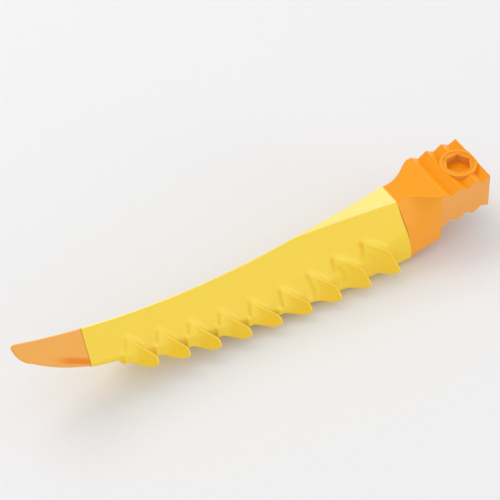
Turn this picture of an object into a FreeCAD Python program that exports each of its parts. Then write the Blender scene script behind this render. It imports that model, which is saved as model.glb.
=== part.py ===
"""Curved barbed ripper tooth: orange shank and tip, yellow barbed wear sleeve, screw lock.

Frame: millimetres, origin on the lock screw's axis at the middle of the mounting block,
+X out of the block's end face, the point of the tooth towards -X, +Z towards the spine.
"""
import FreeCAD, Part
import math
import os
import re

import Sketcher
from FreeCAD import Placement, Rotation, Vector

document = FreeCAD.newDocument("barbed_ripper_tooth")

# ------------------------------------------------------------------ driving dimensions
DIMENSIONS = [
    # mounting block
    ("block_half_width", 36.0, "half the block's width across Y"),
    ("block_top", 26.6, "height of the ridge peaks above mid-height"),
    ("block_end", 20.8, "end face ahead of the lock axis"),
    ("block_front", -46.8, "where the block meets the neck"),
    ("ridge_pitch", 21.4, "distance between ridge peaks"),
    ("ridge_depth", 7.0, "depth of the valleys between ridges"),
    ("end_drop", 2.3, "end face edge below the peaks"),
    ("boss_radius", 22.5, "round boss around the lock screw"),
    # neck
    ("neck_start", -97.0, "joint between neck and sleeve, at the top"),
    ("neck_lean", 6.5, "lean of that joint from upright, degrees"),
    ("neck_rear_radius", 8.0, "rounding under the rear of the neck"),
    ("neck_belly_rear", -50.0, "underside of the neck at the block"),
    ("neck_edge_radius", 10.0, "rounding along the neck's underside"),
    ("neck_flare_delay", 2.0, "power that delays the widening of the neck's top"),
    ("neck_curve_z", -8.0, "height the flank's curve aims at, where the neck starts"),
    ("neck_curve_rise", 20.0, "how much higher it aims at the block"),
    ("neck_wall_z", -24.0, "height where the neck's sides turn upright"),
    ("neck_lip", 1.2, "how far the neck's rear edge stands out past the block's sides"),
    ("neck_margin", 0.5, "how far the neck's side outline passes below its underside"),
    # curved tooth
    ("spine_radius", 800.0, "radius of the curved spine"),
    ("spine_low_x", -336.0, "where the spine is lowest"),
    ("spine_low_z", 19.4, "height of the spine there"),
    ("flank_lean", 27.5, "lean of the flanks from upright, degrees"),
    ("side_half_width", 38.5, "half width of the upright lower sides"),
    ("flank_blend", 50.0, "radius between flank and upright side"),
    ("spine_land", 0.8, "half width of the land on the spine"),
    ("belly_radius", 1370.0, "radius of the curved underside"),
    ("belly_low_x", -150.0, "where the underside is lowest"),
    ("belly_low_z", -59.0, "height of the underside there"),
    ("belly_edge_radius", 10.0, "rounding along the underside"),
    ("prow_edge_radius", 7.0, "the same rounding where the prow starts"),
    ("nose_edge_radius", 2.0, "the same rounding at the nose"),
    ("tip_joint", -511.0, "joint between sleeve and tip cap"),
    ("prow_start_x", -505.0, "where the underside starts to rise to the point"),
    ("prow_knee_x", -578.5, "end of the prow's long curve"),
    ("prow_knee_z", 28.9, "height there"),
    ("prow_long_radius", 290.0, "radius of the prow's long curve"),
    ("prow_short_radius", 39.0, "radius of the prow's upper curve"),
    ("nose_x", -598.7, "foremost point"),
    ("nose_z", 54.5, "height of the foremost point"),
    ("nose_radius", 6.2, "rounding over the nose"),
    ("nose_top_x", -592.5, "where the nose rounding meets the spine"),
    ("nose_top_z", 61.2, "height there"),
    # shells
    ("skin_step", 0.5, "orange parts lie this much below the sleeve's skin"),
    ("sleeve_wall", 9.0, "wall of sleeve and cap"),
    ("core_gap", 0.3, "gap between the core and the shells around it"),
    ("core_end", -556.0, "front end of the core"),
    ("joint_gap", 0.2, "gap between sleeve, neck and cap"),
    # barbs
    ("barb_first_x", -150.0, "foot of the barb nearest the block"),
    ("barb_pitch", 40.1, "distance between barbs"),
    ("barb_reach", 35.0, "length of a barb along the tooth"),
    ("barb_bend", 30.0, "bend radius at the root"),
    ("barb_rise", 30.0, "angle of a barb to the flank, degrees"),
    ("barb_thickness", 2.6, "thickness of a barb"),
    ("barb_height", 31.0, "length of the root up the flank"),
    ("barb_lean", 2.5, "how far the root's top lies behind its foot"),
    ("barb_lift", 14.0, "height of the first barb's foot above the underside"),
    ("barb_lift_step", 2.3, "how much lower each following foot sits, down to the underside"),
    ("barb_root", 6.0, "depth of a barb's foot below the flank"),
    ("barb_drop", 7.0, "how far a barb hangs below its foot"),
    ("barb_belly_start", 23.0, "where the rounded part of the lower edge starts"),
    ("barb_belly_radius", 24.0, "radius of that part"),
    ("barb_tip_radius", 4.5, "rounding of the barb's tip"),
    ("barb_tip_size", 3.5, "length and height of that rounding"),
    ("barb_tail", 6.0, "height of the barb's rear corner up the flank"),
    ("barb_tail_x", 34.4, "how far back that corner lies"),
    ("barb_tail_radius", 14.5, "rounding of that corner"),
    ("barb_tail_size", 5.0, "length of each edge that the rounding takes"),
    ("barb_growth", 17.6, "how much higher the rear corner of the first barb lies"),
    ("barb_growth_step", 5.5, "how much less of that each following barb has"),
    ("barb_growth_root", 0.64, "share of that growth that the root's top gains"),
    ("barb_growth_lean", 0.32, "share of it that the rear corner moves forward"),
    # lock
    ("head_bore", 18.3, "radius of the bore for the lock screw's head"),
    ("head_radius", 18.24, "radius of the lock screw's head"),
    ("head_top", 26.3, "top of the head"),
    ("head_bottom", 6.0, "underside of the head"),
    ("socket_flats", 27.0, "hexagon socket across flats"),
    ("socket_depth", 12.7, "depth of the socket"),
    ("socket_mouth", 16.4, "radius of the socket's round mouth"),
    ("socket_bevel", 1.6, "depth and width of the bevel in that mouth"),
    ("stem_radius", 9.0, "radius of the screw's threaded stem"),
    ("stem_end", -22.5, "lower end of the stem"),
    ("washer_thick", 2.0, "thrust washer and retaining ring thickness"),
    ("web_bottom", -1.0, "underside of the web between the two bores"),
    ("running_gap", 0.06, "radial clearance of running fits"),
    ("loose_gap", 0.1, "room around parts that only lie in place"),
    ("fitted_gap", 0.02, "room around parts that sit tight"),
    ("ring_opening", 2.5, "half the opening of the retaining ring"),
    ("ring_width", 4.0, "radial width of the retaining ring"),
    ("edge_break", 0.6, "chamfers on turned parts"),
    ("dog_radius", 14.5, "radius of the sliding lock dog"),
    ("dog_bottom", -36.6, "lower end of the dog when it is out"),
    ("dog_length", 23.0, "length of the dog"),
    ("dog_floor", 3.6, "thickness below the dog's threaded bore"),
    ("dog_chamfer", 1.5, "chamfer at the dog's free end"),
    ("dog_free", 9.0, "length of the free end, up to the relief groove"),
    ("dog_groove", 1.2, "height of that groove"),
    ("bush_outer", 17.5, "radius of the block's lower bore"),
    ("bush_top", -3.6, "upper end of the guide bush"),
    ("bush_bottom", -24.0, "lower end of the guide bush"),
    ("key_radius", 2.0, "radius of the anti-turn key and of the friction plug"),
    ("key_offset", 15.2, "distance of the key from the lock axis"),
    ("key_bottom", -17.5, "lower end of the key"),
    ("plug_height", -18.1, "height of the friction plug when the dog is out"),
    ("ring_radius", 1.05, "cord radius of the O-ring"),
    ("ring_height", 11.0, "height of the O-ring"),
    # hidden screws and seals
    ("screw_radius", 4.0, "radius of the sleeve and cap screws"),
    ("screw_head", 8.0, "radius of their countersunk heads"),
    ("screw_length", 24.0, "overall length of a sleeve screw"),
    ("cap_screw_length", 16.0, "overall length of the cap screw"),
    ("screw_sink", 1.7, "how far their heads lie inside the underside"),
    ("screw_recess", 2.6, "radius and depth of the key recess in their heads"),
    ("cap_screw_z", 5.2, "height of the cap screw's head"),
    ("screw_first_x", -130.0, "first sleeve screw"),
    ("screw_pitch", 120.0, "distance between sleeve screws"),
    ("cap_screw_x", -532.0, "cap screw"),
    ("seal_width", 4.0, "width of the two seals around the core"),
    ("seal_depth", 2.0, "depth of their grooves"),
    ("neck_seal_x", -112.0, "rear seal"),
    ("cap_seal_x", -500.0, "front seal"),
]

sheet = document.addObject("Spreadsheet::Sheet", "Dims")
for row, (alias, value, note) in enumerate(DIMENSIONS, start=1):
    sheet.set(f"A{row}", note)
    sheet.set(f"B{row}", str(value))
    sheet.setAlias(f"B{row}", alias)
document.recompute()


def bound(text):
    """Expression text with each sheet alias (a word with an underscore) made a sheet reference."""
    return re.sub(r"\b([a-z]+(?:_[a-z0-9]+)+)\b", r"Dims.\1", text)


def read(text):
    """Value of an expression over the sheet."""
    return float(sheet.evalExpression(bound(text)))


# ------------------------------------------------------------------ sketch helpers
def origin_plane(body, role):
    return next(f for f in body.Origin.OriginFeatures if f.Role == role)


def new_sketch(body, name, role, distance="0"):
    """Sketch on one of the body's origin planes, moved along the plane's normal."""
    sketch = body.newObject("Sketcher::SketchObject", name)
    sketch.AttachmentSupport = [(origin_plane(body, role), "")]
    sketch.MapMode = "FlatFace"
    sketch.AttachmentOffset = Placement(Vector(0, 0, read(distance)), Rotation())
    sketch.setExpression("AttachmentOffset.Base.z", bound(distance))
    return sketch


def pin(sketch, geometry, point, x_text, y_text):
    """Tie a point of the sketch to its coordinates."""
    for kind, text, axis in (("DistanceX", x_text, -2), ("DistanceY", y_text, -1)):
        value = read(text)
        if abs(value) < 1e-9:
            sketch.addConstraint(Sketcher.Constraint("PointOnObject", geometry, point, axis))
        else:
            index = sketch.addConstraint(
                Sketcher.Constraint(kind, -1, 1, geometry, point, value))
            sketch.setExpression(f"Constraints[{index}]", bound(text))


def arc_between(start, end, radius):
    """Arc from start to end; a positive radius has its centre on the left of the way."""
    chord = end - start
    normal = Vector(-chord.y, chord.x, 0).normalize()
    rise = math.sqrt(radius**2 - chord.Length**2 / 4)
    side = 1 if radius > 0 else -1
    centre = (start + end) / 2 + normal * rise * side
    first, last = (start, end) if radius > 0 else (end, start)
    angles = [math.atan2(p.y - centre.y, p.x - centre.x) for p in (first, last)]
    circle = Part.Circle(centre, Vector(0, 0, 1), abs(radius))
    return Part.ArcOfCircle(circle, angles[0], angles[1])


def outline(sketch, corners):
    """Closed outline. Each corner is (x, y) or, where an arc follows it, (x, y, radius)."""
    places = [Vector(read(c[0]), read(c[1]), 0) for c in corners]
    ends = []
    for number, corner in enumerate(corners):
        start = places[number]
        end = places[(number + 1) % len(corners)]
        if len(corner) == 2:
            piece = sketch.addGeometry(Part.LineSegment(start, end))
            ends.append((piece, 1, 2))
            continue
        radius = read(corner[2])
        piece = sketch.addGeometry(arc_between(start, end, radius))
        ends.append((piece, 1, 2) if radius > 0 else (piece, 2, 1))
        text = corner[2] if radius > 0 else f"-({corner[2]})"
        index = sketch.addConstraint(Sketcher.Constraint("Radius", piece, abs(radius)))
        sketch.setExpression(f"Constraints[{index}]", bound(text))
    for number, (piece, first, last) in enumerate(ends):
        after, after_first, _ = ends[(number + 1) % len(ends)]
        sketch.addConstraint(Sketcher.Constraint("Coincident", piece, last, after, after_first))
        pin(sketch, piece, first, corners[number][0], corners[number][1])


# ------------------------------------------------------------------ feature helpers
def new_body(name):
    return document.addObject("PartDesign::Body", name)


def pad(body, sketch, length, both_ways=False):
    feature = body.newObject("PartDesign::Pad", "Pad")
    feature.Profile = sketch
    feature.Midplane = both_ways
    feature.Length = read(length)
    feature.setExpression("Length", bound(length))
    return feature


def revolve(body, sketch, angle="360"):
    """Revolution about the sketch's first construction line, to both sides of the sketch."""
    feature = body.newObject("PartDesign::Revolution", "Revolution")
    feature.Profile = sketch
    feature.ReferenceAxis = (sketch, ["Axis0"])
    feature.Midplane = True
    feature.Angle = read(angle)
    feature.setExpression("Angle", bound(angle))
    return feature


def axis_line(sketch, start, end):
    """Construction line from start to end, each a pair of expressions."""
    line = sketch.addGeometry(
        Part.LineSegment(
            Vector(read(start[0]), read(start[1]), 0), Vector(read(end[0]), read(end[1]), 0)),
        True)
    pin(sketch, line, 1, *start)
    pin(sketch, line, 2, *end)


def cut(name, base, tool):
    result = document.addObject("Part::Cut", name)
    result.Base = base
    result.Tool = tool
    return result


def common(name, base, tool):
    result = document.addObject("Part::Common", name)
    result.Base = base
    result.Tool = tool
    return result


def fuse(name, shapes):
    result = document.addObject("Part::MultiFuse", name)
    result.Shapes = shapes
    result.Refine = True
    return result


def box(name, x_range, y_range, z_range):
    """Part::Box between pairs of expressions."""
    block = document.addObject("Part::Box", name)
    for axis, key, (low, high) in zip(
            "xyz", ("Length", "Width", "Height"), (x_range, y_range, z_range)):
        size = f"({high}) - ({low})"
        setattr(block, key, read(size))
        block.setExpression(key, bound(size))
        block.setExpression(f"Placement.Base.{axis}", bound(low))
    return block


# ------------------------------------------------------------------ the curved tooth's form
def flank_body(name, inset):
    """The tooth's cross-section swung along the spine's arc: flanks, blends, upright sides."""
    side = f"(side_half_width - {inset})"
    apex = f"(spine_low_z - {inset} / sin(flank_lean * 1 deg))"
    meet = f"({apex} - ({side} - spine_land) / tan(flank_lean * 1 deg))"
    reach = f"((flank_blend - {inset}) * tan(flank_lean * 0.5 deg))"
    upper_y = f"({side} - {reach} * sin(flank_lean * 1 deg))"
    upper_z = f"({meet} + {reach} * cos(flank_lean * 1 deg))"
    lower_z = f"({meet} - {reach})"
    floor = "belly_low_z - 90"
    centre = "spine_low_z + spine_radius"
    body = new_body(name)
    sketch = new_sketch(body, f"{name}_section", "YZ_Plane", "spine_low_x")
    axis_line(sketch, ("-10", centre), ("10", centre))
    outline(sketch, [
        ("spine_land", apex),
        ("-spine_land", apex),
        (f"-{upper_y}", upper_z, f"flank_blend - {inset}"),
        (f"-{side}", lower_z),
        (f"-{side}", floor),
        (side, floor),
        (side, lower_z, f"flank_blend - {inset}"),
        (upper_y, upper_z),
    ])
    revolve(body, sketch, "44")
    return body


def side_body(name, inset):
    """The tooth seen from the side: top plane, curved underside, prow and rounded nose."""
    body = new_body(name)
    sketch = new_sketch(body, f"{name}_outline", "XZ_Plane")
    arc = f"(belly_radius - {inset})"
    centre_z = "(belly_low_z + belly_radius)"

    def belly(x_text):
        return f"({centre_z} - sqrt({arc} ^ 2 - ({x_text} - belly_low_x) ^ 2))"

    rear = "block_front"
    outline(sketch, [
        (rear, f"block_top - {inset}"),
        ("spine_low_x", f"block_top - {inset}"),
        ("spine_low_x", "nose_top_z + 60"),
        (f"nose_top_x + {inset} * 0.5", "nose_top_z + 60"),
        (f"nose_top_x + {inset} * 0.5", f"nose_top_z - {inset} * 0.5", "nose_radius"),
        (f"nose_x + {inset}", f"nose_z - {inset} * 0.3", f"prow_short_radius - {inset}"),
        (f"prow_knee_x + {inset} * 0.6", f"prow_knee_z + {inset} * 0.8",
         f"prow_long_radius - {inset}"),
        (f"prow_start_x + {inset} * 0.3", belly(f"(prow_start_x + {inset} * 0.3)"), arc),
        (rear, belly(rear)),
    ])
    pad(body, sketch, "4 * side_half_width", both_ways=True)
    return body


def tooth_form(name, inset):
    return common(name, flank_body(f"{name}_flanks", inset), side_body(f"{name}_side", inset))


# ------------------------------------------------------------------ heights and widths of the form
def arc_height(curve, x):
    """Height at x of the spine or the belly, each an arc given by its radius and lowest point."""
    radius = read(f"{curve}_radius")
    reach = x - read(f"{curve}_low_x")
    return read(f"{curve}_low_z") + radius - math.sqrt(radius**2 - reach**2)


def spine(x):
    return arc_height("spine", x)


def underside(x):
    """Height of the underside at x, without the prow."""
    return arc_height("belly", x)


def half_width(x, z):
    """Half width of the skin at x and z."""
    lean = math.radians(read("flank_lean"))
    centre_z = read("spine_low_z") + read("spine_radius")
    drop = math.hypot(x - read("spine_low_x"), z - centre_z) - read("spine_radius")
    side = read("side_half_width")
    blend = read("flank_blend")
    corner = (side - read("spine_land")) / math.tan(lean)
    reach = blend * math.tan(lean / 2)
    if drop > corner + reach:
        return side
    if drop < corner - reach * math.cos(lean):
        return read("spine_land") + drop * math.tan(lean)
    return side - blend + math.sqrt(blend**2 - (corner + reach - drop)**2)


def edge_radius(x):
    """Radius of the rounding along the underside: it shrinks towards the nose."""
    places = [read(text) for text in ("spine_low_x", "prow_start_x", "nose_x")]
    radii = [read(f"{text}_edge_radius") for text in ("belly", "prow", "nose")]
    if x > places[0]:
        return radii[0]
    step = 0 if x > places[1] else 1
    share = (places[step] - x) / (places[step] - places[step + 1])
    return radii[step] + (radii[step + 1] - radii[step]) * min(1.0, share)


def is_lower_edge(edge):
    """True for the edges that run along the underside from block to nose."""
    first, last = (vertex.Point for vertex in (edge.Vertexes[0], edge.Vertexes[-1]))
    middle = edge.valueAt((edge.FirstParameter + edge.LastParameter) / 2)
    if abs(first.x - last.x) < 3 or abs(middle.y) < 3:
        return False
    if middle.x > read("prow_start_x"):
        return abs(middle.z - underside(middle.x)) < 2
    return middle.z < read("nose_z") and middle.z < spine(middle.x) - 10


def rounded(name, form):
    """The form with its two lower edges rounded from block to nose."""
    document.recompute()
    result = document.addObject("Part::Fillet", name)
    result.Base = form
    radii = []
    for number, edge in enumerate(form.Shape.Edges, start=1):
        if is_lower_edge(edge):
            ends = [edge_radius(vertex.X) for vertex in edge.Vertexes]
            if edge.Orientation == "Reversed":
                ends.reverse()
            radii.append((number, *ends))
    result.Edges = radii
    return result


# ------------------------------------------------------------------ sleeve, cap and core
def slab(name, x_from, x_to):
    """Everything between two places along X."""
    return box(name, (x_from, x_to), ("-2 * side_half_width", "2 * side_half_width"),
               ("-150", "150"))


def behind_neck_joint(name, shift):
    """Everything on the point's side of the leaning joint between neck and sleeve."""
    half = document.addObject("Part::Box", name)
    length, width = read("block_end - nose_x"), read("4 * side_half_width")
    half.setExpression("Length", bound("block_end - nose_x"))
    half.setExpression("Width", bound("4 * side_half_width"))
    half.setExpression("Height", bound("8 * side_half_width"))
    turn = Rotation(Vector(0, 1, 0), -read("neck_lean"))
    pivot = Vector(read(f"neck_start - {shift}"), 0, read("block_top"))
    half.Placement = Placement(pivot + turn.multVec(Vector(-length, -width / 2, -width)), turn)
    return half


skin = rounded("skin", tooth_form("skin_form", "0"))
orange_skin = rounded("orange_skin", tooth_form("orange_form", "skin_step"))
cavity = tooth_form("cavity", "sleeve_wall")
core_form = tooth_form("core_form", "(sleeve_wall + core_gap)")
groove_form = tooth_form("groove_form", "(sleeve_wall + core_gap + seal_depth)")

sleeve_length = common("sleeve_length", behind_neck_joint("rear_side", "joint_gap"),
                       slab("sleeve_span", "tip_joint", "0"))
sleeve_shell = cut("sleeve_shell", common("sleeve_skin", skin, sleeve_length), cavity)
cap_length = slab("cap_span", "nose_x - 20", "tip_joint - joint_gap")
cap_room = common("cap_room", cavity, slab("cap_room_span", "core_end - core_gap", "0"))
cap_shell = cut("cap_shell", common("cap_skin", orange_skin, cap_length), cap_room)

core_blank = common("core_blank", core_form, slab("core_span", "core_end", "block_front"))


def seal_ring(name, x_text):
    """Elastomer ring between the core's groove and the shell's cavity."""
    span = slab(f"{name}_span", x_text, f"{x_text} + seal_width")
    return cut(name, common(f"{name}_outside", cavity, span), groove_form)


neck_seal = seal_ring("neck_seal_blank", "neck_seal_x")
cap_seal = seal_ring("cap_seal_blank", "cap_seal_x")
core = cut("core", core_blank, fuse("seals", [neck_seal, cap_seal]))


# ------------------------------------------------------------------ neck
def neck_section(x):
    """Wire across the neck at x: narrow top near the sleeve, the block's width at the rear."""
    start, rear = read("neck_start"), read("block_front")
    share = (x - start) / (rear - start)
    grown = max(0.0, share)
    smooth = min(1.0, grown)**2 * (3 - 2 * min(1.0, grown))
    flare = smooth**read("neck_flare_delay")
    drop = read("skin_step")
    top = read("block_top") - drop * (1 - grown)
    narrow = half_width(min(x, start), read("block_top")) - drop
    crest = narrow + (read("block_half_width") - narrow) * flare
    side = (1 - share) * (read("side_half_width") - drop) + share * read("block_half_width + neck_lip")
    floor = underside(x) + drop + grown * (read("neck_belly_rear") - underside(rear))
    radius = read("neck_edge_radius")
    aim = read("neck_curve_z") + read("neck_curve_rise") * grown
    wall = read("neck_wall_z")
    eighth = radius * (1 - math.sqrt(0.5))

    def half_outline(hand):
        """Top edge to underside on one side: curved flank, upright wall, rounded lower edge."""
        def at(y, z):
            return Vector(x, hand * y, z)
        flank = Part.BezierCurve()
        flank.setPoles([at(crest, top), at(side, aim), at(side, wall)])
        corner = Part.Arc(
            at(side, floor + radius), at(side - eighth, floor + eighth), at(side - radius, floor))
        upright = Part.makeLine(at(side, wall), at(side, floor + radius))
        return [flank.toShape(), upright, corner.toShape()]

    lid = Part.makeLine(Vector(x, -crest, top), Vector(x, crest, top))
    bottom = Part.makeLine(Vector(x, side - radius, floor), Vector(x, radius - side, floor))
    return Part.Wire([lid, *half_outline(1), bottom, *reversed(half_outline(-1))])


NECK_STEPS = 10    # stretches of the neck's loft
neck_blank = document.addObject("Part::Feature", "neck_blank")
neck_front_end = read("neck_start - 15")
neck_stretch = (read("block_front") - neck_front_end) / NECK_STEPS
neck_blank.Shape = Part.makeLoft(
    [neck_section(neck_front_end + neck_stretch * step) for step in range(NECK_STEPS + 1)],
    True, False)
neck_behind = cut("neck_behind", neck_blank, behind_neck_joint("front_side", "0"))
neck_side = new_body("neck_side")
neck_outline = new_sketch(neck_side, "neck_side_outline", "XZ_Plane")
outline(neck_outline, [
    ("block_front", "block_top"),
    ("neck_start - 30", "block_top"),
    ("neck_start - 30", "belly_low_z - 10"),
    ("block_front - neck_rear_radius - 10", "belly_low_z - 10"),
    ("block_front - neck_rear_radius", "neck_belly_rear - neck_margin", "neck_rear_radius"),
    ("block_front", "neck_belly_rear + neck_rear_radius - neck_margin"),
])
pad(neck_side, neck_outline, "4 * block_half_width", both_ways=True)
neck = common("neck", neck_behind, neck_side)

# ------------------------------------------------------------------ mounting block
block = new_body("block")
profile = new_sketch(block, "block_profile", "XZ_Plane")
upper = [("block_end", "block_top - end_drop"), ("ridge_pitch * 0.5", "block_top - ridge_depth")]
for ridge in range(2):
    upper.append((f"-ridge_pitch * {ridge}", "block_top"))
    upper.append((f"-ridge_pitch * ({ridge} + 0.5)", "block_top - ridge_depth"))
upper.append(("-ridge_pitch * 2", "block_top"))
upper.append(("block_front", "block_top"))
lower = [(x, f"-({z})") for x, z in reversed(upper)]
outline(profile, upper + lower)
pad(block, profile, "2 * block_half_width", both_ways=True)
boss = new_sketch(block, "boss_outline", "XY_Plane")
boss_cut = "sqrt(boss_radius ^ 2 - block_end ^ 2)"
outline(boss, [
    ("block_end", boss_cut, "boss_radius"),
    ("-boss_radius", "0", "boss_radius"),
    ("block_end", f"-{boss_cut}"),
])
pad(block, boss, "2 * block_top", both_ways=True)
bores = new_sketch(block, "bore_profile", "XZ_Plane")
axis_line(bores, ("0", "-100"), ("0", "100"))
outline(bores, [
    ("0", "block_top + 5"),
    ("0", "-block_top - 5"),
    ("bush_outer", "-block_top - 5"),
    ("bush_outer", "web_bottom"),
    ("stem_radius + loose_gap", "web_bottom"),
    ("stem_radius + loose_gap", "head_bottom - washer_thick"),
    ("head_bore", "head_bottom - washer_thick"),
    ("head_bore", "block_top + 5"),
])
bore_cut = block.newObject("PartDesign::Groove", "bores")
bore_cut.Profile = bores
bore_cut.ReferenceAxis = (bores, ["Axis0"])
bore_cut.Angle = 360


# ------------------------------------------------------------------ barbs
def barb_blank(name, number):
    """One barb in its own frame: x along the tooth, y away from the flank, z up the flank."""
    strip = new_body(f"{name}_strip")
    bend = new_sketch(strip, f"{name}_bend", "XY_Plane")
    turn = "(barb_bend * sin(barb_rise * 1 deg))"
    rise = "(barb_bend * (1 - cos(barb_rise * 1 deg)))"
    slope = "tan(barb_rise * 1 deg)"
    tip_y = f"({rise} + (barb_reach - {turn}) * {slope})"
    back_x = "(barb_reach + barb_thickness * sin(barb_rise * 1 deg))"
    back_y = f"({tip_y} - barb_thickness * cos(barb_rise * 1 deg))"
    outline(bend, [
        ("0", "0", "barb_bend"),
        (turn, rise),
        ("barb_reach", tip_y, "-0.55 * barb_thickness"),
        (back_x, back_y),
        (f"({back_x} - ({back_y} + barb_root) / {slope})", "-barb_root"),
        (f"({back_x} - ({back_y} + barb_root) / {slope})", "-2.2 * barb_root"),
        ("0", "-2.2 * barb_root"),
    ])
    pad(strip, bend, "4 * barb_height", both_ways=True)
    plate = new_body(f"{name}_plate")
    shape = new_sketch(plate, f"{name}_shape", "XZ_Plane")
    tip_x = "(barb_reach + barb_thickness / 2)"
    growth = f"(max(barb_growth - {number} * barb_growth_step; 0))"
    tail_x = f"(barb_tail_x - barb_growth_lean * {growth})"
    tail_z = f"(barb_tail + {growth})"
    root_top = f"(barb_height + barb_growth_root * {growth})"
    outline(shape, [
        ("-barb_root", "-barb_drop / 5"),
        ("barb_root", "barb_drop / 10"),
        ("barb_belly_start", "-barb_drop", "barb_belly_radius"),
        (f"{tip_x} - barb_tip_size", "-barb_drop", "barb_tip_radius"),
        (tip_x, "-barb_drop + barb_tip_size"),
        (f"{tail_x} + 0.3 * barb_tail_size", f"{tail_z} - barb_tail_size", "barb_tail_radius"),
        (f"{tail_x} - 0.8 * barb_tail_size", f"{tail_z} + 0.6 * barb_tail_size"),
        ("barb_lean", root_top),
        ("-barb_root", root_top),
    ])
    pad(plate, shape, "4 * barb_height", both_ways=True)
    return common(name, strip, plate)


FLANK_SHARE = 0.88    # part of a barb's height over which it follows the flank's lean


def barb_place(number):
    """Placement of a barb on the left flank (+Y), counted from the block."""
    x = read("barb_first_x") - number * read("barb_pitch")
    lift = max(read("barb_lift") - number * read("barb_lift_step"), 0.5)
    low = underside(x) + lift
    along = Vector(2, 0, underside(x + 1) - underside(x - 1)).normalize()
    foot = Vector(x, half_width(x, low), low)
    high = low + FLANK_SHARE * read("barb_height")
    rise = Vector(x, half_width(x, high), high) - foot
    up = (rise - along * rise.dot(along)).normalize()
    turn = Rotation(along, up.cross(along), up, "ZXY")
    return Placement(foot, turn)


def barb(name, blank):
    """The part of the blank that stands outside the sleeve's skin."""
    trimmed = cut(f"{name}_trimmed", blank, skin)
    document.recompute()
    result = document.addObject("Part::Feature", name)
    result.Shape = max(trimmed.Shape.Solids, key=lambda solid: solid.Volume)
    return result


barbs = {}
for number in range(9):
    blank = barb_blank(f"barb_blank_{number + 1}", number)
    blank.Placement = barb_place(number)
    mirrored = document.addObject("Part::Mirroring", f"mirrored_blank_{number + 1}")
    mirrored.Source = blank
    mirrored.Normal = Vector(0, 1, 0)
    for side, source in (("left", blank), ("right", mirrored)):
        name = f"{side}_barb_{number + 1}"
        barbs[name] = barb(name, source)

# ------------------------------------------------------------------ lock in the block
def turned(name, corners):
    """Body of revolution about Z from an outline of (radius, height) corners."""
    body = new_body(name)
    sketch = new_sketch(body, f"{name}_outline", "XZ_Plane")
    axis_line(sketch, ("0", "-100"), ("0", "100"))
    outline(sketch, corners)
    revolve(body, sketch)
    return body


def ring(name, inner, outer, low, high):
    return turned(name, [(inner, low), (outer, low), (outer, high), (inner, high)])


def rod(name, x, y, radius, low, high):
    """Upright round bar."""
    bar = document.addObject("Part::Cylinder", name)
    bar.setExpression("Radius", bound(radius))
    bar.setExpression("Height", bound(f"({high}) - ({low})"))
    for axis, text in (("x", x), ("y", y), ("z", low)):
        bar.setExpression(f"Placement.Base.{axis}", bound(text))
    return bar


screw_turned = turned("screw_turned", [
    ("0", "stem_end"),
    ("stem_radius - edge_break", "stem_end"),
    ("stem_radius", "stem_end + edge_break"),
    ("stem_radius", "head_bottom"),
    ("head_radius - edge_break", "head_bottom"),
    ("head_radius", "head_bottom + edge_break"),
    ("head_radius", "ring_height - 1.2 * ring_radius"),
    ("head_radius - 2.1 * ring_radius", "ring_height - 1.2 * ring_radius"),
    ("head_radius - 2.1 * ring_radius", "ring_height + 1.2 * ring_radius"),
    ("head_radius", "ring_height + 1.2 * ring_radius"),
    ("head_radius", "head_top - edge_break"),
    ("head_radius - edge_break", "head_top"),
    ("socket_mouth", "head_top"),
    ("socket_mouth - socket_bevel", "head_top - socket_bevel"),
    ("0", "head_top - 1.6"),
])
socket = document.addObject("Part::Prism", "socket")
socket.Polygon = 6
socket.setExpression("Circumradius", bound("socket_flats / 2 / cos(30 * 1 deg)"))
socket.setExpression("Height", bound("2 * socket_depth"))
socket.setExpression("Placement.Base.z", bound("head_top - socket_depth"))
lock_screw = cut("lock_screw", screw_turned, socket)
thrust_washer = ring("thrust_washer", "stem_radius + loose_gap", "head_bore - loose_gap",
                     "head_bottom - washer_thick", "head_bottom")
closed_ring = ring("closed_ring", "stem_radius", "stem_radius + ring_width",
                   "web_bottom - washer_thick", "web_bottom - loose_gap")
ring_gap = box("ring_gap", ("0", "2 * stem_radius"), ("-ring_opening", "ring_opening"),
               ("-2 * stem_radius", "stem_radius"))
retaining_ring = cut("retaining_ring", closed_ring, ring_gap)
head_seal = document.addObject("Part::Torus", "head_seal")
head_seal.setExpression("Radius1", bound("head_bore - ring_radius - fitted_gap"))
head_seal.setExpression("Radius2", bound("ring_radius"))
head_seal.setExpression("Placement.Base.z", bound("ring_height"))

dog_turned = turned("dog_turned", [
    ("0", "dog_bottom"),
    ("dog_radius - dog_chamfer", "dog_bottom"),
    ("dog_radius", "dog_bottom + dog_chamfer"),
    ("dog_radius", "dog_bottom + dog_free"),
    ("dog_radius - edge_break", "dog_bottom + dog_free"),
    ("dog_radius - edge_break", "dog_bottom + dog_free + dog_groove"),
    ("dog_radius", "dog_bottom + dog_free + dog_groove"),
    ("dog_radius", "dog_bottom + dog_length"),
    ("stem_radius + running_gap", "dog_bottom + dog_length"),
    ("stem_radius + running_gap", "dog_bottom + dog_floor"),
    ("0", "dog_bottom + dog_floor"),
])
keyway = rod("keyway", "-key_offset", "0", "key_radius + running_gap",
             "dog_bottom + dog_free", "dog_bottom + dog_length + key_radius")


def plug(name, radius, start, end):
    """Bar along +Y through the dog's wall."""
    bar = document.addObject("Part::Cylinder", name)
    bar.setExpression("Radius", bound(radius))
    bar.setExpression("Height", bound(f"({end}) - ({start})"))
    bar.Placement = Placement(Vector(), Rotation(Vector(1, 0, 0), -90))
    bar.setExpression("Placement.Base.y", bound(start))
    bar.setExpression("Placement.Base.z", bound("plug_height"))
    return bar


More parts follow.
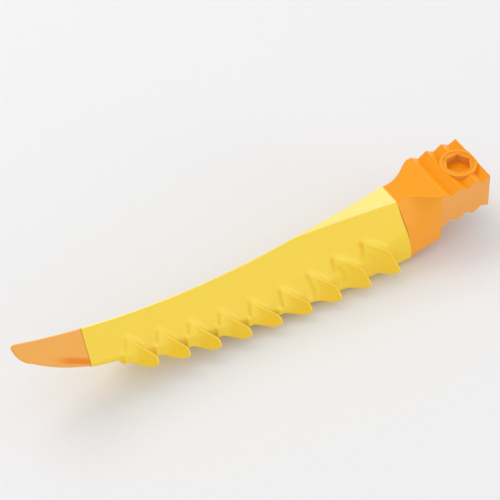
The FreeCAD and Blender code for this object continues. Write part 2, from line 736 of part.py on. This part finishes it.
friction_plug = plug("friction_plug", "key_radius",
                     "stem_radius + loose_gap", "dog_radius - loose_gap")
plug_hole = plug("plug_hole", "key_radius + fitted_gap",
                 "stem_radius - key_radius", "dog_radius + key_radius")
lock_dog = cut("lock_dog", cut("dog_keyed", dog_turned, keyway), plug_hole)
closed_bush = ring("closed_bush", "dog_radius + running_gap", "bush_outer - fitted_gap",
                   "bush_bottom", "bush_top")
key_hole = rod("key_hole", "-key_offset", "0", "key_radius + fitted_gap",
               "key_bottom - fitted_gap", "bush_top + key_radius")
guide_bush = cut("guide_bush", closed_bush, key_hole)
dog_key = rod("dog_key", "-key_offset", "0", "key_radius", "key_bottom", "bush_top")
dust_wiper = turned("dust_wiper", [
    ("dog_radius + running_gap", "-block_top + edge_break"),
    ("bush_outer - fitted_gap", "-block_top"),
    ("bush_outer - fitted_gap", "bush_bottom - fitted_gap"),
    ("dog_radius + running_gap + edge_break", "bush_bottom - fitted_gap"),
    ("dog_radius + running_gap", "bush_bottom - edge_break"),
])


# ------------------------------------------------------------------ screws of sleeve and cap
def screw_body(name, x, corners):
    """Body of revolution about the upright line at x, from (radius, height) corners."""
    body = new_body(name)
    sketch = new_sketch(body, f"{name}_outline", "XZ_Plane")
    axis_line(sketch, (x, "-100"), (x, "100"))
    outline(sketch, [(f"{x} + {radius}", height) for radius, height in corners])
    revolve(body, sketch)
    return body


def countersunk(name, x, head, length):
    """Countersunk socket screw, point up, with the flat of its head at the height head."""
    return screw_body(name, x, [
        ("0", f"{head} + screw_recess"),
        ("screw_recess", f"{head} + screw_recess"),
        ("screw_recess", head),
        ("screw_head", head),
        ("screw_radius", f"{head} + screw_head - screw_radius"),
        ("screw_radius", f"{head} + {length}"),
        ("0", f"{head} + {length}"),
    ])


def screw_room(name, x, head, length):
    """The hole for that screw, open downwards."""
    mouth = f"{head} - 4 * screw_length"
    return screw_body(name, x, [
        ("0", mouth),
        ("screw_head + loose_gap", mouth),
        ("screw_head + loose_gap", head),
        ("screw_radius + loose_gap", f"{head} + screw_head - screw_radius"),
        ("screw_radius + loose_gap", f"{head} + {length}"),
        ("0", f"{head} + {length} + loose_gap"),
    ])


def sunk(x):
    """Height of a screw head that lies just inside the underside at x."""
    drop = f"sqrt(belly_radius ^ 2 - ({x} - belly_low_x) ^ 2)"
    return f"(belly_low_z + belly_radius - {drop} + screw_sink)"


screws = []
rooms = []
for number in range(3):
    x = f"(screw_first_x - {number} * screw_pitch)"
    screws.append(countersunk(f"sleeve_screw_{number + 1}", x, sunk(x), "screw_length"))
    rooms.append(screw_room(f"screw_room_{number + 1}", x, sunk(x), "screw_length"))
sleeve_screws = fuse("sleeve_screws", screws)
cap_screw = countersunk("cap_screw", "cap_screw_x", "cap_screw_z", "cap_screw_length")
rooms.append(screw_room("cap_screw_room", "cap_screw_x", "cap_screw_z", "cap_screw_length"))
holes = fuse("holes", rooms)

shank = cut("shank", fuse("shank_blank", [block, neck, core]), holes)
wear_sleeve = cut("wear_sleeve", sleeve_shell, holes)
tip_cap = cut("tip_cap", cap_shell, holes)

# ------------------------------------------------------------------ check and write
nodes = {
    "shank": shank,
    "wear_sleeve": wear_sleeve,
    "tip_cap": tip_cap,
    "lock_screw": lock_screw,
    "thrust_washer": thrust_washer,
    "retaining_ring": retaining_ring,
    "head_seal": head_seal,
    "lock_dog": lock_dog,
    "friction_plug": friction_plug,
    "guide_bush": guide_bush,
    "dog_key": dog_key,
    "dust_wiper": dust_wiper,
    "sleeve_screws": sleeve_screws,
    "cap_screw": cap_screw,
    "neck_seal": neck_seal,
    "cap_seal": cap_seal,
}
nodes.update(barbs)
document.recompute()
for name, node in nodes.items():
    node.Label = name
failed = [obj.Name for obj in document.Objects if {"Invalid", "Error"} & set(obj.State)]
if failed:
    raise RuntimeError(f"features that failed: {failed}")
os.makedirs("parts", exist_ok=True)
for name, node in nodes.items():
    shape = node.Shape
    if shape.isNull() or not shape.isValid() or not shape.Solids:
        raise RuntimeError(f"{name} has no valid shape")
    shape.exportStep(f"parts/{name}.step")
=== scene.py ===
"""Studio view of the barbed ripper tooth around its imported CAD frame. Units: metres."""

import math

import bmesh
import bpy
import numpy as np
import openvdb
from mathutils import Matrix, Vector


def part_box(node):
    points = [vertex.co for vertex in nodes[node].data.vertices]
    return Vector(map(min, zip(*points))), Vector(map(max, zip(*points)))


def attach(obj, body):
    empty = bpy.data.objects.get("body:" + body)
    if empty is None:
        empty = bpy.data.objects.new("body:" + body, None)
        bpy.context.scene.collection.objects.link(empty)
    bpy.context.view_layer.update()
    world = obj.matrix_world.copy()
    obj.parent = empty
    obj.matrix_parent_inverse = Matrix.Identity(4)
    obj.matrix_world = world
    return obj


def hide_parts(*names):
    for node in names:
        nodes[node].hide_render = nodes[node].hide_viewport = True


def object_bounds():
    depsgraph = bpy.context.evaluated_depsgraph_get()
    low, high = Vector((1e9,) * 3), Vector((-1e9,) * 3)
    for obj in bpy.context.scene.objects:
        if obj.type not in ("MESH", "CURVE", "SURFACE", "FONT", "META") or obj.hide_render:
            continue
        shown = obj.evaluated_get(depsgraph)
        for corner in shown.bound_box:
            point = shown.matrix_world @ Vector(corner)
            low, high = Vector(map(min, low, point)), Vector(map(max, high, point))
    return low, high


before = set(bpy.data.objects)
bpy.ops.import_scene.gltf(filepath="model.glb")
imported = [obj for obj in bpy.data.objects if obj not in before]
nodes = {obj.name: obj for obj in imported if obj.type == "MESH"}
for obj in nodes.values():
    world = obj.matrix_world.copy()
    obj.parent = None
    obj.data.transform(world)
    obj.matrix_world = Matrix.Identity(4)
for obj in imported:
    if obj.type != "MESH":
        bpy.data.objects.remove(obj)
cad_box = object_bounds()
MM = 0.001


# ------------------------------------------------------------------ node graphs
def srgb(red, green, blue):
    """Linear RGBA from the 0 to 255 values seen on a screen."""
    def linear(value):
        share = value / 255
        return share / 12.92 if share <= 0.04045 else ((share + 0.055) / 1.055) ** 2.4
    return (linear(red), linear(green), linear(blue), 1.0)


def scaled(colour, factor, lift=0.0):
    """A linear colour made darker or paler, with its alpha kept at 1."""
    return tuple(min(1.0, channel * factor + lift) for channel in colour[:3]) + (1.0,)


class Graph:
    """Node tree of a material or world, with short calls for its nodes and links."""

    def __init__(self, owner):
        owner.use_nodes = True
        self.owner = owner
        self.tree = owner.node_tree

    def feed(self, socket, value):
        """Links an input to another node's output, or sets it to a plain value."""
        if isinstance(value, bpy.types.NodeSocket):
            self.tree.links.new(value, socket)
        else:
            socket.default_value = value

    def node(self, kind, inputs=None, **settings):
        """New node, with its inputs given by name or by number."""
        made = self.tree.nodes.new(kind)
        for key, value in settings.items():
            setattr(made, key, value)
        for key, value in (inputs or {}).items():
            self.feed(made.inputs[key], value)
        return made

    def place(self):
        return self.node("ShaderNodeTexCoord").outputs["Object"]

    def facing(self, axis):
        """Part of the surface normal along the world axis X, Y or Z."""
        normal = self.node("ShaderNodeNewGeometry").outputs["Normal"]
        return self.node("ShaderNodeSeparateXYZ", {"Vector": normal}).outputs[axis]

    def noise(self, scale, detail=3.0, stretch=(1, 1, 1)):
        """Noise over the object's own coordinates, stretched per axis."""
        spot = self.node("ShaderNodeMapping", {"Vector": self.place(), "Scale": stretch})
        return self.node("ShaderNodeTexNoise", {
            "Vector": spot.outputs["Vector"], "Scale": scale, "Detail": detail}).outputs["Fac"]

    def mix(self, factor, first, second, blend="MIX"):
        """Two colours mixed, by the colour sockets of the node."""
        made = self.node("ShaderNodeMix", data_type="RGBA", blend_type=blend)
        for number, value in ((0, factor), (6, first), (7, second)):
            self.feed(made.inputs[number], value)
        return made.outputs[2]

    def ramp(self, value, low, high, out_low=0.0, out_high=1.0, shape="LINEAR"):
        """A value carried from low..high to out_low..out_high, and held beyond them."""
        return self.node("ShaderNodeMapRange", {
            "Value": value, "From Min": low, "From Max": high,
            "To Min": out_low, "To Max": out_high}, interpolation_type=shape).outputs["Result"]

    def dot(self, place, way):
        return self.node(
            "ShaderNodeVectorMath", {0: place, 1: way}, operation="DOT_PRODUCT").outputs["Value"]

    def joined(self, operation, first, *others):
        """The values joined by one operation, such as ADD or MULTIPLY."""
        whole = first
        for other in others:
            whole = self.node(
                "ShaderNodeMath", {0: whole, 1: other}, operation=operation).outputs["Value"]
        return whole

    def along(self, direction, start, end):
        """Mask that rises smoothly from 0 at the point start to 1 at the point end."""
        way = Vector(direction).normalized()
        return self.ramp(
            self.dot(self.place(), way), way.dot(Vector(start)), way.dot(Vector(end)),
            shape="SMOOTHSTEP")

    def bump(self, height, distance, normal=None):
        inputs = {"Height": height, "Distance": distance, "Strength": 1.0}
        if normal is not None:
            inputs["Normal"] = normal
        return self.node("ShaderNodeBump", inputs).outputs["Normal"]

    def soft_edge(self, radius):
        """Normal softened over sharp edges, as if they were slightly rounded."""
        return self.node("ShaderNodeBevel", {"Radius": radius}, samples=6).outputs["Normal"]

    def finish(self, **values):
        """Feeds the surface shader's inputs, named with _ for a space, and gives the material."""
        for key, value in values.items():
            self.feed(self.tree.nodes["Principled BSDF"].inputs[key.replace("_", " ")], value)
        return self.owner


# ------------------------------------------------------------------ materials
# Noise scales, in cells per metre.
CLOUDS = 14.0
PATCHES = 60.0
FIBRES = 220.0
TOOL_MARKS = 500.0
GRAINS = 700.0
ORANGE_PEEL = 900.0

# Satin coat.
SATIN_ROUGHNESS = (0.28, 0.33)
CLOUD_SHADE = 0.97           # tone in the darkest clouds
COAT_EDGE = 0.5 * MM         # rounding that the coat gives sharp edges
PEEL_DEPTH = 0.004 * MM

# Bare metal.
PATCH_SHADE = 0.7            # tone in the darkest patches
METAL_EDGE = 0.25 * MM
MARK_DEPTH = 0.01 * MM

# Normal part where one painted tone of a face ends and where the next one is full: painted sheen,
# highlight and shade that stand in for how the lamps fall on level and upright faces.
ORANGE_SLOPE = (0.75, 0.5)
YELLOW_SLOPE = (0.93, 0.6)
NECK_SLOPE = (0.93, 0.7)
BARB_SLOPE = (-0.15, -0.5)

# The neck's painted shade stops at the block's front.
BLOCK_FRONT = -46.8 * MM     # x where the neck meets the block
NECK_JOINT = 0.2 * MM        # half the width of the change of tone there

# Painted shade band on the cap, where its side turns under: heights over the cap's lower edge, and
# lengths ahead of its rear edge.
BAND_DOWN = (-0.45, 0, -0.89)
BAND_UPPER = (17 * MM, 12 * MM)
BAND_LOWER = (6 * MM, 9 * MM)
BAND_FADE = (48 * MM, 20 * MM)


def material_graph(name):
    return Graph(bpy.data.materials.new(name))


def satin_coat(name, top_tone, side_tone, ior, top_slope, other_tone=None):
    """Smooth satin coat: painted highlight and shade in a tone for level and one for upright faces,
    clouding, orange peel.

    top_slope is the normal's height where the top tone ends and where the side tone is full; both
    tones are painted light for how the lamps and their mirror images fall on the faces.
    other_tone is (mask, colour): a function that builds a mask, and the painted shade tone where it
    is 1.
    """
    graph = material_graph(name)
    # Painted light: level faces take the top tone and upright faces the side tone, in place of the
    # sheen and shade the lamps would give them.
    tint = graph.mix(graph.ramp(graph.facing("Z"), *top_slope), top_tone, side_tone)
    if other_tone:
        mask, tone = other_tone
        tint = graph.mix(mask(graph), tint, tone)
    cloud = graph.ramp(graph.noise(CLOUDS), 0.3, 0.75, 1.0, CLOUD_SHADE)
    shade = graph.node("ShaderNodeCombineColor", {"Red": cloud, "Green": cloud, "Blue": cloud})
    tint = graph.mix(1.0, tint, shade.outputs["Color"], "MULTIPLY")
    rough = graph.ramp(graph.noise(PATCHES), 0.3, 0.7, *SATIN_ROUGHNESS)
    peel = graph.noise(ORANGE_PEEL, 2.0)
    normal = graph.bump(peel, PEEL_DEPTH, graph.soft_edge(COAT_EDGE))
    return graph.finish(Base_Color=tint, Roughness=rough, IOR=ior, Normal=normal)


def cap_shade_band(graph):
    """Mask of a painted shade band above the cap's lower edge, which fades towards the nose."""
    low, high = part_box("tip_cap")
    rear, foot = high[0], low[2]
    upper, lower = (
        graph.along(BAND_DOWN, (rear, 0, foot + start), (rear, 0, foot + end))
        for start, end in (BAND_UPPER, BAND_LOWER))
    start, end = BAND_FADE
    fade = graph.along((1, 0, 0), (rear - start, 0, 0), (rear - end, 0, 0))
    return graph.joined("MULTIPLY", upper, lower, fade)


def neck_side_shade(graph):
    """Mask for painted shade on the neck's upright sides, and not the block's."""
    neck = graph.along(
        (-1, 0, 0), (BLOCK_FRONT + NECK_JOINT, 0, 0), (BLOCK_FRONT - NECK_JOINT, 0, 0))
    return graph.joined("MULTIPLY", neck, graph.ramp(graph.facing("Z"), *NECK_SLOPE))


def point_facing_shade(graph):
    """Mask for painted shade on faces turned towards the tooth's point, as the outer faces of the
    barbs are.
    """
    return graph.ramp(graph.facing("X"), *BARB_SLOPE)


def machined_metal(name, colour, roughness, stretch):
    """Turned or ground metal with fine tool marks."""
    graph = material_graph(name)
    marks = graph.noise(TOOL_MARKS, 4.0, stretch)
    patches = graph.ramp(graph.noise(PATCHES), 0.35, 0.7)
    tint = graph.mix(patches, colour, scaled(colour, PATCH_SHADE))
    rough = graph.ramp(marks, 0.3, 0.7, roughness - 0.07, roughness + 0.1)
    normal = graph.bump(marks, MARK_DEPTH, graph.soft_edge(METAL_EDGE))
    return graph.finish(Base_Color=tint, Metallic=1.0, Roughness=rough, Normal=normal)


def soft_polymer(name, colour, roughness, grain_depth):
    """Matt rubber or nylon with a fine moulded grain."""
    graph = material_graph(name)
    grain = graph.noise(GRAINS, 4.0)
    tint = graph.mix(graph.ramp(grain, 0.4, 0.7), colour, scaled(colour, 1.25, 0.004))
    rough = graph.ramp(grain, 0.3, 0.7, roughness - 0.08, roughness + 0.08)
    return graph.finish(Base_Color=tint, Roughness=rough, Normal=graph.bump(grain, grain_depth))


# Each finish: painted tone of level faces, painted tone of upright faces, IOR, and the normal heights
# between them. The oranges' upright tone is a painted pale sheen and the yellows' level tone a
# painted highlight. The cap's orange and the barbs' yellow are copies of the same paints with their
# own painted sheen.
ORANGE = (srgb(255, 161, 4), srgb(238, 163, 72), 1.4, ORANGE_SLOPE)
CAP_SHEEN_ORANGE = (srgb(250, 172, 60), srgb(242, 172, 76), 1.4, ORANGE_SLOPE)
YELLOW = (srgb(255, 238, 132), srgb(243, 207, 32), 1.6, YELLOW_SLOPE)
BARB_SHEEN_YELLOW = (srgb(253, 225, 90), srgb(243, 207, 32), 1.6, YELLOW_SLOPE)

orange = satin_coat("orange_satin", *ORANGE)
# Painted shade on the neck's upright sides, more saturated than the block's.
neck_shaded_orange = satin_coat("neck_orange_satin", *ORANGE, (neck_side_shade, srgb(245, 160, 34)))
# Painted shade in a band low on the cap, and a paler painted sheen over the rest.
cap_sheen_and_shade_orange = satin_coat("cap_orange_satin", *CAP_SHEEN_ORANGE, (cap_shade_band, srgb(236, 132, 0)))
yellow = satin_coat("yellow_satin", *YELLOW)
# Painted shade on the barbs' faces that turn towards the point, and a painted highlight on their
# level faces.
barb_sheen_and_shade_yellow = satin_coat("barb_yellow_satin", *BARB_SHEEN_YELLOW, (point_facing_shade, srgb(250, 202, 8)))
steel = machined_metal("ground_steel", srgb(178, 180, 184), 0.28, (0.1, 0.1, 4))
spring = machined_metal("spring_steel", srgb(96, 98, 104), 0.4, (1, 1, 4))
black = machined_metal("black_oxide", srgb(44, 44, 48), 0.45, (1, 1, 1))
bronze = machined_metal("bearing_bronze", srgb(196, 142, 78), 0.32, (0.1, 0.1, 4))
rubber = soft_polymer("seal_rubber", srgb(26, 26, 28), 0.6, 0.02 * MM)
nylon = soft_polymer("plug_nylon", srgb(228, 224, 212), 0.45, 0.01 * MM)

FINISH = {
    "shank": neck_shaded_orange, "tip_cap": cap_sheen_and_shade_orange, "lock_screw": orange, "wear_sleeve": yellow,
    "thrust_washer": bronze, "guide_bush": bronze, "retaining_ring": spring,
    "lock_dog": steel, "dog_key": steel, "sleeve_screws": black, "cap_screw": black,
    "head_seal": rubber, "dust_wiper": rubber, "neck_seal": rubber, "cap_seal": rubber,
    "friction_plug": nylon,
}


def coat(obj, material):
    obj.data.materials.clear()
    obj.data.materials.append(material)


for name, node in nodes.items():
    coat(node, FINISH.get(name, yellow))


# ------------------------------------------------------------------ barbs that grow out of the sleeve
BARBS = 9
STEP = 0.7 * MM          # grid of the distance fields
BLEND = 12.0 * MM        # size of the soft transition from sleeve to barb
TUCK = 0.02 * MM         # how far the transition's rim dips below the sleeve
SEAT = 2.0 * MM          # depth that a barb reaches into the sleeve
WELD = 0.002 * MM        # points closer than this are joined
ROUNDING = 2             # passes that round the barb's edges


def welded(obj):
    """Points and triangles of a mesh, with the points that share a place joined."""
    mesh = bmesh.new()
    mesh.from_mesh(obj.data)
    bmesh.ops.remove_doubles(mesh, verts=mesh.verts, dist=WELD)
    bmesh.ops.triangulate(mesh, faces=mesh.faces)
    points = np.array([vert.co for vert in mesh.verts], np.float32)
    faces = np.array([[v.index for v in face.verts] for face in mesh.faces], np.uint32)
    mesh.free()
    return points, faces


def distance_field(obj):
    """Signed distance to a closed mesh, known as far from its surface as the blend needs."""
    points, faces = welded(obj)
    return openvdb.FloatGrid.createLevelSetFromPolygons(
        points, triangles=faces, transform=openvdb.createLinearTransform(voxelSize=STEP),
        halfWidth=(BLEND + SEAT) / STEP)


def sampled(field, low, counts):
    """Dense block of a field's values from the index low."""
    block = np.empty(counts, np.float32)
    field.copyToArray(block, ijk=tuple(int(value) for value in low))
    return block


def softened(block, passes):
    """The block after a few passes of a three-point average along each axis."""
    for _ in range(passes):
        for axis in range(3):
            padded = np.pad(block, [(1, 1) if a == axis else (0, 0) for a in range(3)], "edge")
            take = [slice(None)] * 3
            parts = []
            for start, stop in ((0, -2), (1, -1), (2, None)):
                take[axis] = slice(start, stop)
                parts.append(padded[tuple(take)])
            block = (parts[0] + 2 * parts[1] + parts[2]) / 4
    return block


def smooth_union(first, second, size):
    """Distance to two solids that flow into each other where both are nearer than size."""
    near = np.maximum(size - np.abs(first - second), 0) / size
    return np.minimum(first, second) - near**3 * size / 6


def largest_shell(points, quads):
    """The largest connected shell of a mesh, without the small ones around the sleeve's hollow."""
    shell = np.arange(len(points))
    while True:
        merged = shell.copy()
        np.minimum.at(merged, quads.ravel(), np.repeat(shell[quads].min(axis=1), 4))
        merged = merged[merged]
        if np.array_equal(merged, shell):
            break
        shell = merged
    labels, counts = np.unique(shell[quads[:, 0]], return_counts=True)
    kept = quads[shell[quads[:, 0]] == labels[counts.argmax()]]
    used, renumbered = np.unique(kept, return_inverse=True)
    return points[used], renumbered.reshape(kept.shape)


def mesh_object(name, points, quads):
    """Closed, smooth-shaded mesh object with its faces turned outwards."""
    mesh = bpy.data.meshes.new(name)
    mesh.from_pydata([tuple(map(float, p)) for p in points], [],
                     [tuple(map(int, q)) for q in quads])
    shaped = bmesh.new()
    shaped.from_mesh(mesh)
    bmesh.ops.recalc_face_normals(shaped, faces=shaped.faces)
    shaped.to_mesh(mesh)
    shaped.free()
    mesh.shade_smooth()
    obj = bpy.data.objects.new(name, mesh)
    bpy.context.scene.collection.objects.link(obj)
    return obj


def grown_barb(node, sleeve_field):
    """Points and quads of one CAD barb, rounded and blended into the sleeve around it."""
    margin = BLEND + 2 * STEP
    low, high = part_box(node.name)
    first = np.floor((np.array(low) - margin) / STEP).astype(int)
    counts = np.ceil((np.array(high) + margin) / STEP).astype(int) - first + 1
    barb = sampled(distance_field(node), first, counts)
    sleeve = sampled(sleeve_field, first, counts)
    form = smooth_union(softened(barb, ROUNDING), sleeve, BLEND) + TUCK
    form = np.maximum(form, -SEAT - sleeve)
    form = np.maximum(form, barb - BLEND)
    grid = openvdb.FloatGrid(background=float(BLEND))
    grid.transform = openvdb.createLinearTransform(voxelSize=STEP)
    grid.copyFromArray(np.ascontiguousarray(form, np.float32), ijk=tuple(map(int, first)))
    return largest_shell(*grid.convertToQuads())


def grow_barbs():
    """Every CAD barb replaced by a grown one; the left side mirrors the right."""
    sleeve_field = distance_field(nodes["wear_sleeve"])
    for number in range(1, BARBS + 1):
        points, quads = grown_barb(nodes[f"right_barb_{number}"], sleeve_field)
        for side, hand in (("right", 1), ("left", -1)):
            piece = mesh_object(f"{side}_barb_{number}_grown", points * (1, hand, 1), quads)
            coat(piece, barb_sheen_and_shade_yellow)
            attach(piece, "tooth")
            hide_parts(f"{side}_barb_{number}")


# ------------------------------------------------------------------ stage, light and camera
FLOOR_GAP = 3 * MM           # the floor lies this far below the tooth
FLOOR_REACH = 6.0
DIFFUSE_LIGHT = 0.82         # even light that the surround gives matt surfaces
MIRRORED_ROOM = 0.15         # what a glossy surface mirrors between the panels

# Camera, with its aim as shifts from the block's origin in its own plane.
AZIMUTH = -31.99
ELEVATION = 47.13
DISTANCE = 3.8173
LEFT_SHIFT = 0.2445
DOWN_SHIFT = 0.08455
FOCAL_LENGTH = 232.95        # millimetres, on a sensor 36 mm wide
SENSOR_WIDTH = 36.0


def floor(height):
    """Wide sheet of pale paper."""
    corners = [(x * FLOOR_REACH, y * FLOOR_REACH, height)
               for x, y in ((-1, -1), (1, -1), (1, 1), (-1, 1))]
    sheet = bpy.data.meshes.new("floor")
    sheet.from_pydata(corners, [], [(0, 1, 2, 3)])
    plane = bpy.data.objects.new("floor", sheet)
    bpy.context.scene.collection.objects.link(plane)
    graph = material_graph("floor_paper")
    tone = graph.mix(graph.noise(FIBRES), srgb(237, 237, 238), srgb(240, 240, 241))
    coat(plane, graph.finish(Base_Color=tone, Roughness=0.9, Specular_IOR_Level=0.1))


def area_light(name, place, aim, size, power):
    """Round soft lamp that lights surfaces but isn't mirrored in them."""
    light = bpy.data.lights.new(name, "AREA")
    light.shape = "DISK"
    light.size = size
    light.energy = power
    lamp = bpy.data.objects.new(name, light)
    lamp.location = place
    lamp.rotation_euler = (Vector(aim) - Vector(place)).to_track_quat("-Z", "Y").to_euler()
    lamp.visible_glossy = False
    bpy.context.scene.collection.objects.link(lamp)


def surround():
    """World light: even for matt surfaces; glossy ones mirror three soft panels instead."""
    world = bpy.data.worlds.new("studio")
    graph = Graph(world)
    way = graph.node("ShaderNodeTexCoord").outputs["Generated"]

    def panel(direction, full, dark, strength):
        """Soft round panel; full and dark are the cosines where it is full and where it ends."""
        spread = graph.dot(way, Vector(direction).normalized())
        return graph.ramp(spread, dark, full, 0.0, strength, "SMOOTHSTEP")

    near_side = panel((0.5, -0.87, 0.0), 0.9, 0.5, 2.2)
    overhead = panel((-0.15, -0.1, 0.98), 0.985, 0.92, 1.6)
    behind = panel((0.71, 0.58, 0.38), 0.95, 0.89, 2.5)
    mirrored = graph.joined("ADD", near_side, MIRRORED_ROOM, overhead, behind)
    is_mirror = graph.node("ShaderNodeLightPath").outputs["Is Glossy Ray"]
    strength = graph.node("ShaderNodeMix", {"Factor": is_mirror, "A": DIFFUSE_LIGHT, "B": mirrored})
    background = graph.tree.nodes["Background"]
    graph.feed(background.inputs["Strength"], strength.outputs["Result"])
    graph.feed(background.inputs["Color"], (1.0, 1.0, 1.0, 1.0))
    bpy.context.scene.world = world


def studio():
    """Pale floor, bright surround, a broad key from behind and a low fill from the front."""
    low, high = cad_box
    middle = ((low[0] + high[0]) / 2, 0, 0)
    floor(low[2] - FLOOR_GAP)
    surround()
    area_light("key", (-1.1, 2.1, 3.1), middle, 2.4, 37.0)
    area_light("fill", (1.5, -2.4, 0.36), middle, 1.5, 19.0)
    bpy.context.scene.view_settings.view_transform = "Standard"


def camera():
    """Long lens from the front left of the point, looking down on the tooth."""
    turn, tilt = math.radians(AZIMUTH), math.radians(ELEVATION)
    back = Vector((math.sin(turn) * math.cos(tilt), -math.cos(turn) * math.cos(tilt),
                   math.sin(tilt)))
    right = Vector((math.cos(turn), math.sin(turn), 0))
    up = back.cross(right)
    lens = bpy.data.cameras.new("camera")
    lens.lens = FOCAL_LENGTH
    lens.sensor_width = SENSOR_WIDTH
    lens.clip_end = 100.0
    view = bpy.data.objects.new("camera", lens)
    place = back * DISTANCE - right * LEFT_SHIFT - up * DOWN_SHIFT
    view.matrix_world = Matrix.Translation(place) @ Matrix((right, up, back)).transposed().to_4x4()
    bpy.context.scene.collection.objects.link(view)
    bpy.context.scene.camera = view


grow_barbs()
studio()
camera()
